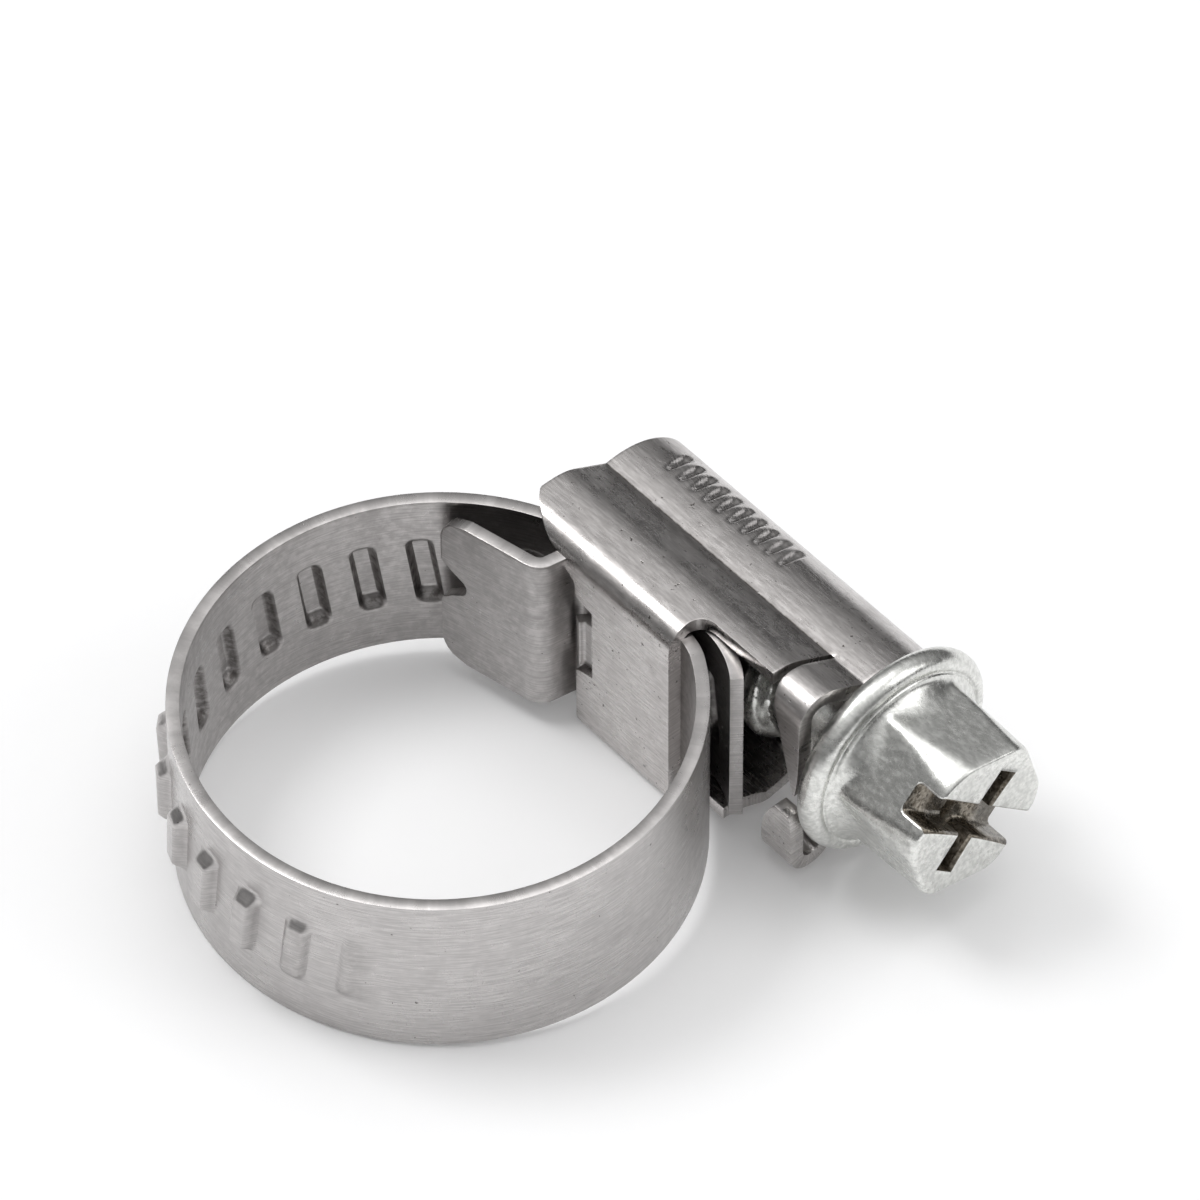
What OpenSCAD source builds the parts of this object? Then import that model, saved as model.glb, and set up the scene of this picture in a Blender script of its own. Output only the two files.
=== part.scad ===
// Worm-drive hose clip: a closed loop of band, a folded one-piece housing and a hex-headed worm screw.
// The hose runs along Z. The housing sits on +Y and the screw lies along X with its head at +X.

/* [Band] */
// Inside diameter of the loop, as supplied, fully opened
bore_d = 21.74; // [20:0.02:24]
// Width of the band, along the hose
band_w = 9; // [8:0.1:10]
// Thickness of the band
band_t = 0.6; // [0.5:0.05:0.7]
// Spacing of the pressed threads along the middle of the band
thread_pitch = 2.57; // [2.3:0.01:2.8]
// How far a pressed thread stands proud of the band
press_h = 0.6; // [0.4:0.05:0.7]
// Length of a pressed thread, across the band
press_l = 4.4; // [3.5:0.1:5]
// Length of a pressed thread's foot, along the band
press_foot = 1.3; // [1:0.05:1.4]
// Length of a pressed thread's flat top, along the band
press_top = 0.6; // [0.4:0.05:0.8]
// Number of pressed threads on the curved part of the loop
press_count = 16; // [8:1:18]

/* [Fixed end of the band] */
// Length of the plate that bridges the gap behind the housing
plate_l = 5.05; // [4:0.05:5.2]
// Lean of that plate towards the middle of the loop, degrees
plate_lean = 12.5; // [12:0.5:20]
// Drop of the joggle that leads to the plate
joggle_drop = 2.07; // [1.9:0.01:2.3]
// Corner radius at the end of the plate
plate_corner_r = 1.3; // [0.8:0.1:1.6]
// Depth of the notch in the end of the plate
notch_depth = 1.35; // [1:0.05:1.8]
// Width of the notch at its mouth
notch_w = 2.6; // [2:0.1:3]
// Radius at the bottom of the notch
notch_r = 0.7; // [0.5:0.05:0.9]
// Distance of the notch from the middle of the band's width
notch_z = 0.5; // [0:0.1:0.8]
// Width of the tongue that keys the band to the strap
key_w = 2.8; // [1.8:0.1:3]
// Length of that tongue, along the screw
key_l = 1; // [0.8:0.1:1.2]

/* [Housing] */
// Thickness of the folded sheet
sheet_t = 0.7; // [0.6:0.05:0.8]
// Distance from the loop's outer face to the screw's axis
axis_rise = 3.53; // [3.43:0.05:3.83]
// Length of the crown over the screw
crown_l = 16.5; // [16:0.1:17]
// How far the crown reaches behind the middle of the loop
crown_back = 5.5; // [5:0.1:6]
// Radius inside the crown
crown_r = 3.4; // [3.3:0.05:3.5]
// Angle from the crown's apex down to the fold line on the flank that carries on into the strap
fold_angle = 103; // [100:1:106]
// The same angle on the flank that the strap's tab laps
fold_low = 112; // [108:1:114]
// How far the flanks reach down past the screw's axis
flank_drop = 5.15; // [4.9:0.05:5.3]
// Width of the strap that passes under the bands
strap_w = 6; // [5.5:0.1:6.4]
// How far the strap reaches behind the middle of the loop
strap_back = 1.6; // [1.4:0.1:1.8]
// Inner bend radius at the strap's corners
strap_bend = 0.1; // [0.06:0.02:0.12]
// Radius of the arch in front of the strap
arch_r = 0.8; // [0.6:0.1:1]
// Height of the flank's front edge above the foot of the strap's flank
arch_rise = 1.15; // [1:0.05:1.2]
// Width of the notch in the strap's rear edge
strap_notch_w = 4.4; // [4:0.1:4.8]
// Angle from the crown's apex down to the end of the strap's tab, which lies on the crown
tab_angle = 92; // [86:1:95]
// Length of the collar that holds the neck of the screw
collar_l = 1.9; // [1.6:0.1:2.2]
// Number of grip notches rolled into the crown
grip_count = 10; // [8:1:10]
// Spacing of the grip notches
grip_pitch = 0.8; // [0.7:0.05:0.8]

/* [Screw] */
// Width across the flats of the hexagon
hex_af = 7; // [6.8:0.05:7.2]
// Length of the hexagon in front of the flange
hex_l = 4.8; // [4.4:0.1:5.2]
// Diameter of the flange
flange_d = 10.3; // [9.8:0.1:10.8]
// Thickness of the flange at its rim
flange_t = 1.25; // [1:0.05:1.4]
// Depth of the worm's thread
worm_depth = 0.75; // [0.6:0.05:0.85]
// Width of the worm's thread at its crest
worm_crest = 0.7; // [0.4:0.05:0.75]
// Width of the worm's thread at its root
worm_root = 1.35; // [0.9:0.05:1.4]
// Turns of thread on the worm
worm_turns = 4.8; // [4:0.1:5]
// Width of the slot for a flat blade
slot_w = 1.5; // [1.2:0.1:1.8]
// Depth of that slot
slot_depth = 1.5; // [1.2:0.1:2]
// Reach of the cross recess from the middle of the head
cross_reach = 2.6; // [2.2:0.1:2.8]
// Width of the cross recess
cross_w = 0.95; // [0.8:0.05:1.1]
// Depth of the cross recess
cross_depth = 2.2; // [1.8:0.1:2.6]

/* [Clearances] */
// Gap between parts that lie against each other
seat_gap = 0.02; // [0.01:0.01:0.04]
// Gap between the worm's crests and the crown
turn_gap = 0.1; // [0.08:0.01:0.14]
// Gap between the screw's neck and the crown
neck_gap = 0.07; // [0.05:0.01:0.07]
// Gap between the band's edges and the flanks
edge_gap = 0.12; // [0.1:0.01:0.2]

/* [Hidden] */
$fn = 96;

// Angle of one facet in a folded corner
bend_step = 9;

// The loop of the band
loop_r = bore_d / 2 + band_t / 2;
loop_out = bore_d / 2 + band_t;
axis_y = loop_out + axis_rise;
steel_colour = [0.74, 0.73, 0.72];
zinc_colour = [0.80, 0.82, 0.83];

// The screw, from its rear end to the end face of the hexagon
worm_r = crown_r - turn_gap;
root_r = worm_r - worm_depth;
crown_end = crown_l - crown_back;
flange_back = crown_end + 0.3;
hex_front = flange_back + flange_t + hex_l;
hex_r = hex_af / 2 / cos(30);
hex_turn = 46;
worm_back = -crown_back + 0.7;
neck_r = crown_r - neck_gap;

// The strap, the fixed band on it and the free band above, as heights from the middle of the loop
free_in = loop_r - band_t / 2;
fixed_mid = free_in - 0.48 - band_t / 2;
strap_top = fixed_mid - band_t / 2 - seat_gap;
strap_mid = strap_top - sheet_t / 2;
strap_front = strap_w - strap_back;

// The folded sheet, as half widths along Z
flank_z = band_w / 2 + edge_gap + sheet_t / 2;
tab_z = flank_z + sheet_t + seat_gap;
crown_mid = crown_r + sheet_t / 2;
fold_mid = [axis_y + crown_mid * cos(fold_angle), crown_mid * sin(fold_angle)];
fold_lap = [axis_y + crown_mid * cos(fold_low), -crown_mid * sin(fold_low)];
foot_y = axis_y - flank_drop;
shoulder_drop = 3.2;
shoulder_y = axis_y - shoulder_drop;
lip_drop = 4.35;
lip_mid = axis_y - lip_drop;
lip_low = 1.8;
lip_cross = 0.5;
collar_back = crown_end - collar_l;
notch_low = -strap_notch_w / 2 + 0.25;
shoulder_r = 2.5;
lap_drop = 3;
lap_y = axis_y - lap_drop;
lap_r = 0.5;
slit = 0.25;
lip_r = 0.65;

// How far a cutting body reaches past the face that it starts from
cut_over = 1;
half_turn = 180;
quarter_turn = 90;

// Unit vector along a leg
function unit(v) = v / norm(v);

// A straight stretch of sheet, of thickness t, from p to q
module stretch(p, q, t) {
    side = [q.y - p.y, p.x - q.x] / norm(q - p) * t / 2;
    polygon([p - side, p + side, q + side, q - side]);
}

// Points of the face that lies d to the left of a path's middle, round corner i with middle radius r
function bend_points(path, i, r, d) =
    let (u = unit(path[i - 1] - path[i]), v = unit(path[i + 1] - path[i]),
         half = acos(u * v) / 2,
         mid = path[i] + unit(u + v) * r / sin(half),
         side = cross(path[i] - path[i - 1], path[i + 1] - path[i]) > 0 ? 1 : -1,
         from = atan2(-side * u.x, side * u.y) + half_turn,
         sweep = half_turn - 2 * half,
         steps = ceil(sweep / bend_step))
    [for (k = [0 : steps]) let (a = from + side * sweep * k / steps)
        mid + (r - side * d) * [cos(a), sin(a)]];

// Points of one whole face of a folded sheet
function face_points(path, radii, d) =
    let (first = unit(path[1] - path[0]), n = len(path) - 1, last = unit(path[n] - path[n - 1]))
    concat([path[0] + d * [-first.y, first.x]],
           [for (i = [1 : n - 1]) each bend_points(path, i, radii[i - 1], d)],
           [path[n] + d * [-last.y, last.x]]);

// The edge view of a folded sheet that follows a path, with one bend radius for each inner point
module folded(path, radii, t) {
    left = face_points(path, radii, t / 2);
    right = face_points(path, radii, -t / 2);
    polygon(concat(left, [for (i = [len(right) - 1 : -1 : 0]) right[i]]));
}

// A sector of a ring between two radii, from angle a0 to a1, less than a full turn
module ring_sector(r_in, r_out, a0, a1) {
    steps = ceil((a1 - a0) / 80);
    fan = [for (i = [0 : steps]) 2 * r_out * [cos(a0 + (a1 - a0) * i / steps), sin(a0 + (a1 - a0) * i / steps)]];
    intersection() {
        difference() {
            circle(r_out);
            circle(r_in);
        }
        polygon(concat([[0, 0]], fan));
    }
}

// Stands a section drawn as [distance from the loop, width] up along the screw, from x0 to x1
module along_screw(x0, x1) {
    translate([x0, 0, 0]) rotate([90, 0, 90]) linear_extrude(x1 - x0) children();
}

// Where the fixed end leaves the strap and rounds into the loop
fillet_r = 3.2;
fillet_y = fixed_mid - fillet_r;
fillet_x = sqrt(pow(loop_r - fillet_r, 2) - pow(fillet_y, 2));
join_angle = atan2(fillet_y, fillet_x);

// Joggle behind the strap, and the plate that bridges to the loop
joggle_gap = 0.78;
joggle_x = -strap_back - joggle_gap;
joggle_foot = [joggle_x - joggle_drop / tan(80), fixed_mid - joggle_drop];
plate_end = joggle_foot + plate_l * [-cos(plate_lean), -sin(plate_lean)];

// Tail of the free end, past the worm
tail_flat = 4.5;
tail_bend_r = 5;
tail_bend = 38;

// Angle round the loop for one thread, and of the thread that lies midway in the housing
press_step = thread_pitch / loop_r * 180 / PI;
worm_lead = atan(thread_pitch / (2 * PI * worm_r));

// The band seen along the hose
module band_outline() {
    ring_sector(bore_d / 2, loop_out, 90, 360 + join_angle);
    translate([fillet_x, fillet_y]) ring_sector(fillet_r - band_t / 2, fillet_r + band_t / 2, join_angle, 90);
    folded([[fillet_x, fixed_mid], [joggle_x, fixed_mid], joggle_foot, plate_end], [0.7, 0.7], band_t);
    stretch([0, loop_r], [tail_flat, loop_r], band_t);
    translate([tail_flat, loop_r - tail_bend_r])
        ring_sector(tail_bend_r - band_t / 2, tail_bend_r + band_t / 2, quarter_turn - tail_bend, quarter_turn);
}

// One pressed thread as a slanted bar, with its middle on the band's outer face at the origin and up along Y
module thread_bar(height, length) {
    rotate([0, -worm_lead, 0]) translate([0, 0, -length / 2]) linear_extrude(length)
        polygon([[-press_foot / 2, -0.1], [press_foot / 2, -0.1], [press_top / 2, height], [-press_top / 2, height]]);
}

// Puts a child on the band's outer face for thread k: on the tail's bend, in the housing, then round the loop
module at_thread(k) {
    if (k < -1)
        translate([tail_flat, loop_r - tail_bend_r, 0])
            rotate([0, 0, (tail_flat + k * thread_pitch) / tail_bend_r * 180 / PI])
                translate([0, tail_bend_r + band_t / 2, 0]) children();
    else if (k < 1)
        translate([-k * thread_pitch, loop_out, 0]) children();
    else
        rotate([0, 0, k * press_step]) translate([0, loop_out, 0]) children();
}

// Height of thread k: the last two fade out
function thread_height(k) = press_h * min(1, (press_count + 1 - k) / 3);

// Cuts round the plate's corners and notch its end; they reach no further than the plate's own faces
module plate_trim() {
    reach = band_w / 2 - plate_corner_r;
    skim = 1.2 * band_t;
    translate([plate_end.x, plate_end.y, 0]) rotate([0, 0, plate_lean + 180]) rotate([90, 0, 0])
        translate([0, 0, -skim / 2]) linear_extrude(skim) {
            for (s = [-1, 1]) difference() {
                translate([-plate_corner_r, s > 0 ? reach : -reach - plate_corner_r - 1])
                    square([plate_corner_r + 1, plate_corner_r + 1]);
                translate([-plate_corner_r, s * reach]) circle(plate_corner_r);
            }
            translate([notch_r - notch_depth, notch_z]) circle(notch_r);
            polygon([[notch_r - notch_depth, notch_z - notch_r], [0, notch_z - notch_w / 2], [1, notch_z - notch_w / 2],
                     [1, notch_z + notch_w / 2], [0, notch_z + notch_w / 2], [notch_r - notch_depth, notch_z + notch_r]]);
        }
}

module band() {
    color(steel_colour) difference() {
        union() {
            translate([0, 0, -band_w / 2]) linear_extrude(band_w) band_outline();
            for (k = [-2 : press_count])
                at_thread(k) thread_bar(thread_height(k), press_l);
            // The tongue that keys into the strap's rear edge
            translate([-strap_back - 0.1, strap_mid - sheet_t / 2 + 0.1, notch_low + 0.05])
                cube([key_l, fixed_mid - strap_mid + 0.1, key_w]);
        }
        for (k = [-2 : press_count])
            at_thread(k) translate([0, -band_t, 0]) thread_bar(thread_height(k) - 0.05, press_l - 0.4);
        plate_trim();
    }
}

// The crown's section, from one fold line over the apex to the other
module crown_section() {
    translate([axis_y, 0]) ring_sector(crown_r, crown_r + sheet_t, -fold_low, fold_angle);
}

// A flank from the fold line down to its foot, on side s
module flank_section(s, foot) {
    path = s > 0 ? [fold_mid, [shoulder_y, flank_z], [foot, flank_z]] : [fold_lap, [lap_y, -flank_z], [foot, -flank_z]];
    folded(path, [s > 0 ? shoulder_r : lap_r], sheet_t);
}

// The strap: down the flank, across under the bands and up outside the other flank
module strap_section() {
    bend_r = strap_bend + sheet_t / 2;
    step = sheet_t + seat_gap;
    flank_lean = atan2(flank_z + fold_lap.y, fold_lap.x - lap_y);
    lean_dir = [cos(flank_lean), sin(flank_lean)];
    shoulder = [lap_y + step * tan(flank_lean / 2), -tab_z];
    // The tab's slanted leg meets the crown at crease, and its end curls on round the crown
    lay_r = crown_r + sheet_t / 2 + step;
    to_axis = shoulder - [axis_y, 0];
    along = -(to_axis * lean_dir) - sqrt(pow(to_axis * lean_dir, 2) - to_axis * to_axis + lay_r * lay_r);
    crease = shoulder + along * lean_dir;
    crease_angle = atan2(-crease.y, crease.x - axis_y);
    curl_steps = 3;
    curl = [for (k = [1 : curl_steps])
        let (a = crease_angle + (tab_angle - crease_angle) * k / curl_steps,
             r = k < curl_steps ? lay_r / cos((crease_angle - tab_angle) / 2 / curl_steps) : lay_r)
        [axis_y + r * cos(a), -r * sin(a)]];
    folded(concat([[foot_y + 0.5, flank_z], [strap_mid, flank_z], [strap_mid, -tab_z], shoulder, crease], curl),
           concat([bend_r, bend_r, lap_r + step], [for (k = [1 : curl_steps]) sheet_t]), sheet_t);
}

// The slanted edge of the flank that leads into the strap behind it
module strap_root() {
    bend_r = strap_bend + sheet_t / 2;
    rear = [-crown_back, foot_y];
    low = strap_mid - sheet_t;
    intersection() {
        along_screw(-crown_back, 0)
            folded([[foot_y + 0.5, flank_z], [strap_mid, flank_z], [strap_mid, 0]], [bend_r], sheet_t);
        translate([0, 0, flank_z - 1.1]) linear_extrude(2)
            polygon([[rear.x, rear.y + 1], rear, [-strap_back - 0.4, strap_mid - sheet_t / 2], [0, low],
                     [0, rear.y + 1]]);
    }
}

// The opening in front of the strap: an arch that runs out along the flank's front edge
module flank_arch() {
    low = strap_mid - sheet_t;
    top = foot_y + arch_rise;
    translate([strap_front, 0, flank_z - sheet_t]) linear_extrude(2 * sheet_t) {
        translate([arch_r, top - arch_r]) circle(arch_r);
        translate([0, low]) square([arch_r, top - arch_r - low]);
        translate([arch_r, low]) square([collar_back - slit / 2 - strap_front - arch_r, top - low]);
    }
}

// The collar: both flanks turn in under the neck of the screw, the upper one past the middle
module collar_section() {
    folded([fold_mid, [shoulder_y, flank_z], [lip_mid, flank_z + 0.2], [lip_mid, -lip_cross]], [1, lip_r], sheet_t);
    folded([fold_lap, [shoulder_y, -flank_z - 0.3], [lip_mid, -flank_z - 0.45], [lip_mid, -lip_low]],
           [1, lip_r], sheet_t);
}

// The window cut in the lower flank, with a slanted side and a slot with a round end
module flank_window() {
    front = collar_back - slit / 2;
    slot_r = 0.49;
    slot_x = front - 2 * slot_r;
    slot_y = axis_y - 2.05;
    low_x = slot_x - 1;
    low_y = foot_y - cut_over;
    translate([0, 0, -tab_z - sheet_t]) linear_extrude(tab_z + sheet_t - crown_r * 0.7) {
        polygon([[low_x, low_y], [low_x, foot_y + 0.65], [slot_x, slot_y], [front, slot_y], [front, low_y]]);
        translate([slot_x + slot_r, slot_y]) circle(slot_r);
    }
}

// One grip notch: a thin disc that bites into the crown
module grip_notch(x) {
    bite_r = 1.3;
    bite = 0.22;
    translate([x, axis_y, 0]) rotate([62, 0, 0]) translate([0, crown_r + sheet_t + bite_r - bite, 0])
        rotate([0, 90, 0]) cylinder(r = bite_r, h = grip_pitch * 0.45);
}

module housing() {
    foot_low = foot_y + 0.15;
    dimple_l = 0.9;
    dimple_w = 1;
    dimple_depth = 0.18;
    dimple_back = 2.4;
    dimple_x = crown_end - dimple_back;
    color(steel_colour) difference() {
        union() {
            along_screw(-crown_back, crown_end) crown_section();
            along_screw(-crown_back, collar_back - slit) flank_section(1, foot_y);
            along_screw(-crown_back, collar_back - slit) flank_section(-1, foot_low);
            along_screw(-strap_back, strap_front) strap_section();
            strap_root();
            along_screw(collar_back, crown_end) collar_section();
        }
        flank_window();
        flank_arch();
        for (i = [0 : grip_count - 1])
            grip_notch(-3.9 + i * grip_pitch);
        // The dimple near the collar
        translate([dimple_x, axis_y, 0]) rotate([-77, 0, 0])
            translate([0, crown_r + sheet_t - dimple_depth, -dimple_w / 2]) cube([dimple_l, cut_over, dimple_w]);
        // The notch that the band's tongue locks into
        translate([-crown_back, strap_mid - sheet_t, notch_low])
            cube([crown_back - strap_back + key_l, 2 * sheet_t, strap_notch_w]);
    }
}

// The worm's section across its axis: the crest lies on +X and the thread slopes down to the root on both sides
module worm_section() {
    crest = worm_crest / 2 / thread_pitch * 360;
    foot = worm_root / 2 / thread_pitch * 360;
    crest_steps = 4;
    root_steps = 12;
    polygon(concat(
        [for (k = [0 : 2 * crest_steps]) let (a = crest * (k / crest_steps - 1)) worm_r * [cos(a), sin(a)]],
        [for (k = [0 : 2 * root_steps]) let (a = foot + (half_turn - foot) * k / root_steps) root_r * [cos(a), sin(a)]]));
}

// The worm: a right-handed thread whose crests pass midway between the band's threads
module worm(length) {
    slices_per_turn = 20;
    turn = 360 * (worm_back / thread_pitch - 3 / 4);
    rotate([0, 90, 0])
        linear_extrude(length, twist = -360 * length / thread_pitch, slices = slices_per_turn * length / thread_pitch,
                       $fn = 30)
            rotate(turn) worm_section();
}

module screw() {
    flange_r = flange_d / 2;
    rim_r = flange_t / 2 - 0.02;
    flange_front = flange_back + flange_t;
    neck_back = collar_back - 0.4;
    worm_front = worm_back + worm_turns * thread_pitch;
    cone_r = hex_af / 2 + 0.2;
    cone_x = flange_front + 0.45;
    corner_cut = 0.35;
    hex_full = hex_front - flange_back;
    color(zinc_colour) translate([0, axis_y, 0]) difference() {
        union() {
            // Core of the worm, its neck and the flange with a rounded rim
            rotate([0, 90, 0]) {
                translate([0, 0, worm_front - 0.5]) cylinder(r = root_r - 0.1, h = flange_back - worm_front + 0.5);
                translate([0, 0, neck_back]) cylinder(r = neck_r, h = flange_back - neck_back);
                rotate_extrude() {
                    translate([0, flange_back]) square([flange_r - rim_r, flange_t]);
                    translate([flange_r - rim_r, flange_back + flange_t / 2]) circle(rim_r, $fn = 32);
                    polygon([[0, flange_front - 0.05], [flange_r - rim_r, flange_front - 0.05],
                             [cone_r, cone_x], [0, cone_x]]);
                }
            }
            translate([worm_back, 0, 0]) worm(worm_front - worm_back);
            // Hexagon with its end chamfered by a cone
            translate([flange_back, 0, 0]) intersection() {
                rotate([hex_turn, 0, 0]) rotate([90, 0, 90]) cylinder(r = hex_r, h = hex_full, $fn = 6);
                rotate([0, 90, 0]) cylinder(r1 = hex_r - corner_cut + hex_full, r2 = hex_r - corner_cut, h = hex_full);
            }
        }
        // Slot and cross recess in the end face
        translate([hex_front, 0, 0]) rotate([hex_turn + 90, 0, 0]) {
            translate([-slot_depth, -hex_r, -slot_w / 2]) cube([slot_depth + cut_over, 2 * hex_r, slot_w]);
            translate([-cross_depth, -cross_w / 2, -cross_reach])
                cube([cross_depth + cut_over, cross_w, 2 * cross_reach]);
        }
    }
}

band();
housing();
screw();
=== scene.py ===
"""A worm-drive hose clip in a white studio: formed band, folded housing and zinc-plated worm screw."""

import bisect
import logging
import math
from dataclasses import dataclass, field
from enum import Enum
from typing import Callable, Iterable, Sequence

import bmesh
import bpy
from mathutils import Matrix, Vector


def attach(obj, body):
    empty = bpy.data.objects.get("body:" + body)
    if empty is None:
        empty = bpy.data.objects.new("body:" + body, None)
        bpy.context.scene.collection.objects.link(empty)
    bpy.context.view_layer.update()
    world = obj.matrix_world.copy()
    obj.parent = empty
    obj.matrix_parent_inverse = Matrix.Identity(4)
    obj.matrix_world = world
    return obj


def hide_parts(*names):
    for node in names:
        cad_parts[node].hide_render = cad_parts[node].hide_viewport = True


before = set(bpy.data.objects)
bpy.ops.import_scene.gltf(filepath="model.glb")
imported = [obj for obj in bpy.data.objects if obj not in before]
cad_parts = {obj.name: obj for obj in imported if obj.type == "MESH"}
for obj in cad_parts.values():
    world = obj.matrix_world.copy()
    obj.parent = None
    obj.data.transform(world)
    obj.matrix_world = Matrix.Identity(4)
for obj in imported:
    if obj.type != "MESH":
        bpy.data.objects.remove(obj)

log = logging.getLogger("hose_clip")

MM = 0.001
CM = 10.0  # millimetres in a centimetre, the unit of the UV maps and of the finishes' noises
WELD = 1e-4
GRID_HALF = 0.5
WIDEST_BEND = 9.0  # between two stations of an arc, in degrees
INSIDE_SHADE_GAIN = 3.0  # how much more painted shade the inner face of a sheet gets
SHEET_SHARP = 38.0
TURNED_SHARP = 30.0
WHITE = (1.0, 1.0, 1.0, 1.0)

Triple = tuple[float, float, float]
Row = tuple[float, Vector, Vector]  # distance along a path, place and normal
Placed = tuple[Triple, Triple, Triple, Triple, float]  # middle, outer offset, inner offset, flat place, darkening (mostly painted shade)
Placer = Callable[[Row, float], Placed]
Section = tuple[float, Callable[[float], float]]  # position along the screw and radius by angle


class Slot(Enum):
    """Material slots of the part's record."""

    BAND = "band_steel"
    HOUSING = "housing_steel"
    SCREW = "screw_zinc"


class Body(Enum):
    """Rigid bodies of the part's record."""

    CLIP = "clip"
    SCREW = "screw"


class Value:
    """A shader socket that can be used in Python expressions."""

    def __init__(self, graph: "Graph", socket: bpy.types.NodeSocket | None) -> None:
        """Wraps a socket of a graph."""
        self.graph = graph
        self.socket = socket

    def _math(self, operation: str, *operands: "Value | float") -> "Value":
        """Adds the Math node of an operation."""
        return self.graph.node("ShaderNodeMath", {"operation": operation}, dict(enumerate(operands)))

    def __add__(self, other: "Value | float") -> "Value":
        """Value plus other."""
        return self._math("ADD", self, other)

    __radd__ = __add__

    def __sub__(self, other: "Value | float") -> "Value":
        """Value minus other."""
        return self._math("SUBTRACT", self, other)

    def __rsub__(self, other: float) -> "Value":
        """Other minus value."""
        return self._math("SUBTRACT", other, self)

    def __mul__(self, other: "Value | float") -> "Value":
        """Value times other."""
        return self._math("MULTIPLY", self, other)

    __rmul__ = __mul__

    def above(self, low: float, high: float) -> "Value":
        """Maps this value's span from low to high onto 0 to 1, eased and clamped.

        Args:
            low: The value that becomes 0.
            high: The value that becomes 1.

        Returns:
            The mask.
        """
        settings = {"interpolation_type": "SMOOTHSTEP"}
        inputs = {"Value": self, "From Min": low, "From Max": high}
        return self.graph.node("ShaderNodeMapRange", settings, inputs)


@dataclass(frozen=True)
class Noise:
    """A noise: cells in one unit, octaves, factor for each axis and turn about the third axis, in radians."""

    scale: float
    detail: float
    stretch: Triple = (1.0, 1.0, 1.0)
    turn: float = 0.0


class Graph:
    """Builds the node tree of one material or of the world."""

    def __init__(self, owner: bpy.types.Material | bpy.types.World) -> None:
        """Empties the owner's node tree.

        Args:
            owner: The new material or world.
        """
        owner.use_nodes = True
        self.owner = owner
        self.tree = owner.node_tree
        self.tree.nodes.clear()

    def node(
        self, kind: str, settings: dict | None = None, inputs: dict | None = None, output: int | str = 0
    ) -> Value:
        """Adds a node.

        Args:
            kind: The node's type.
            settings: Properties set before the sockets are filled, or a ramp's stops.
            inputs: Socket name or index to a number, a tuple or a Value.
            output: The output socket to return.

        Returns:
            The chosen output.
        """
        made = self.tree.nodes.new(kind)
        for key, value in (settings or {}).items():
            if key == "stops":
                self._ramp(made.color_ramp, value)
            else:
                setattr(made, key, value)
        for key, value in (inputs or {}).items():
            if isinstance(value, Value):
                self.tree.links.new(value.socket, made.inputs[key])
            else:
                made.inputs[key].default_value = value
        return Value(self, made.outputs[output] if made.outputs else None)

    def _ramp(self, ramp: bpy.types.ColorRamp, stops: Sequence[tuple[float, float]]) -> None:
        """Gives a ramp its grey stops.

        Args:
            ramp: The ramp, which has two stops when it is new.
            stops: Each a position and a brightness, in order.
        """
        (first, _), (last, _) = stops[0], stops[-1]
        ramp.elements[0].position = first
        ramp.elements[1].position = last
        for position, _ in stops[1:-1]:
            ramp.elements.new(position)
        for element, (_, grey) in zip(ramp.elements, stops):
            element.color = (grey, grey, grey, 1.0)

    def blend(self, mask: Value, low: "tuple | Value", high: "tuple | Value") -> Value:
        """Mixes two colours by a mask.

        Args:
            mask: 0 shows low and 1 shows high.
            low: First colour.
            high: Second colour.

        Returns:
            The mixed colour.
        """
        ends = [end if isinstance(end, Value) else (*end[:3], 1.0) for end in (low, high)]
        return self.node("ShaderNodeMix", {"data_type": "RGBA"}, {0: mask, 6: ends[0], 7: ends[1]}, output=2)

    def noise(self, where: Value, noise: Noise) -> Value:
        """Adds noise over stretched coordinates.

        Args:
            where: The coordinates.
            noise: Its size, octaves, stretch and turn.

        Returns:
            The noise, about 0.5 on average.
        """
        settings = {"vector_type": "TEXTURE"} if noise.turn else {}
        scaled = tuple(1 / axis for axis in noise.stretch) if noise.turn else noise.stretch
        turned = {"Vector": where, "Scale": scaled, "Rotation": (0.0, 0.0, noise.turn)}
        placed = self.node("ShaderNodeMapping", settings, turned)
        inputs = {"Vector": placed, "Scale": noise.scale, "Detail": noise.detail, "Roughness": 0.6}
        return self.node("ShaderNodeTexNoise", {}, inputs)

    def finish(self, surface: Value) -> bpy.types.Material:
        """Joins the surface to the material's output.

        Args:
            surface: The shader.

        Returns:
            The finished material.
        """
        self.node("ShaderNodeOutputMaterial", inputs={"Surface": surface})
        return self.owner


@dataclass(frozen=True)
class Finish:
    """Look of one metal surface: colours, roughness, noises and the heights of its marks in millimetres."""

    name: str
    tint: Triple
    shade: Triple
    # colour of the pits, and of the darkening from the vertex attribute, which is painted shade
    soil_and_shade: Triple
    roughness: float
    roughness_spread: float
    grain: Noise
    grain_depth: float
    pit_from: float
    orange_peel: float
    mottle: Noise
    uv: bool = True


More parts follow.
